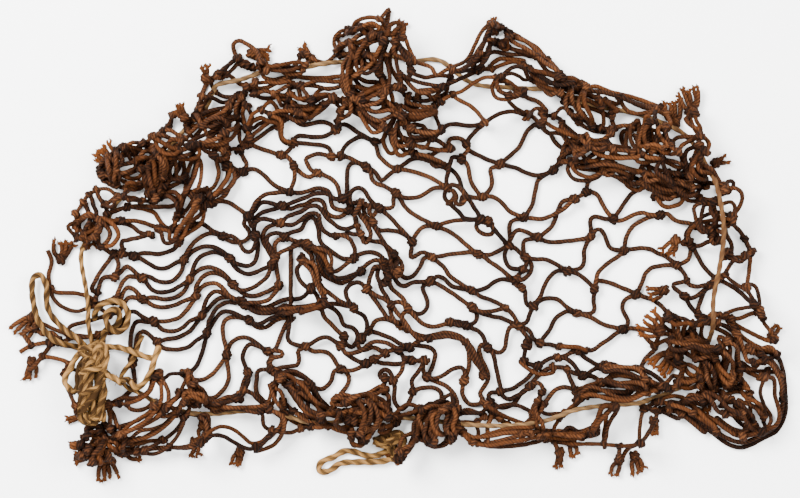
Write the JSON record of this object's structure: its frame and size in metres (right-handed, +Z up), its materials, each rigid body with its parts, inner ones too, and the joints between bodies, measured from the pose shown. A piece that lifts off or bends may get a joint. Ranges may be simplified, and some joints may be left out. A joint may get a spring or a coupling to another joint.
{
  "type": "helmet net",
  "caption": "Knotted brown twine net for a helmet, gathered on a hemp drawstring and lying flat, with frayed cut ends and a wrapped tie.",
  "frame": {"origin": "centre of the net's outline, on the surface that it lies on", "axes": "+X along the net's length towards its bag, +Y across it towards its curved edge, +Z up from the surface"},
  "size_m": [0.4052, 0.2454, 0.0247],
  "materials": {
    "twine": "twisted reddish brown twine, matt and slightly fuzzy",
    "hemp": "two-ply tan hemp string, matt",
    "cut_end": "frayed orange-brown ends of the same twine"
  },
  "bodies": {
    "root": {"net": "twine", "drawstring": "hemp", "tie_left_bight": "hemp", "tie_left_end": "hemp", "tie_eye": "hemp", "tie_right_bight": "hemp", "lower_bight": "hemp", "tie_knot": "hemp", "lower_knot": "hemp", "tuft_01": "cut_end", "tuft_02": "cut_end", "tuft_03": "cut_end", "tuft_04": "cut_end", "tuft_05": "cut_end", "tuft_06": "cut_end", "tuft_07": "cut_end", "tuft_08": "cut_end", "tuft_09": "cut_end", "tuft_10": "cut_end", "tuft_11": "cut_end", "tuft_12": "cut_end", "tuft_13": "cut_end", "tuft_14": "cut_end", "tuft_15": "cut_end", "tuft_16": "cut_end", "tuft_17": "cut_end", "tuft_18": "cut_end", "tuft_19": "cut_end", "tuft_20": "cut_end", "tuft_21": "cut_end", "tuft_22": "cut_end", "tuft_23": "cut_end", "tuft_24": "cut_end", "tuft_25": "cut_end", "tuft_26": "cut_end", "tuft_27": "cut_end", "tuft_28": "cut_end", "tuft_29": "cut_end", "tuft_30": "cut_end", "tuft_31": "cut_end", "tuft_32": "cut_end", "tuft_33": "cut_end", "tuft_34": "cut_end", "tuft_35": "cut_end"}
  },
  "joints": []
}
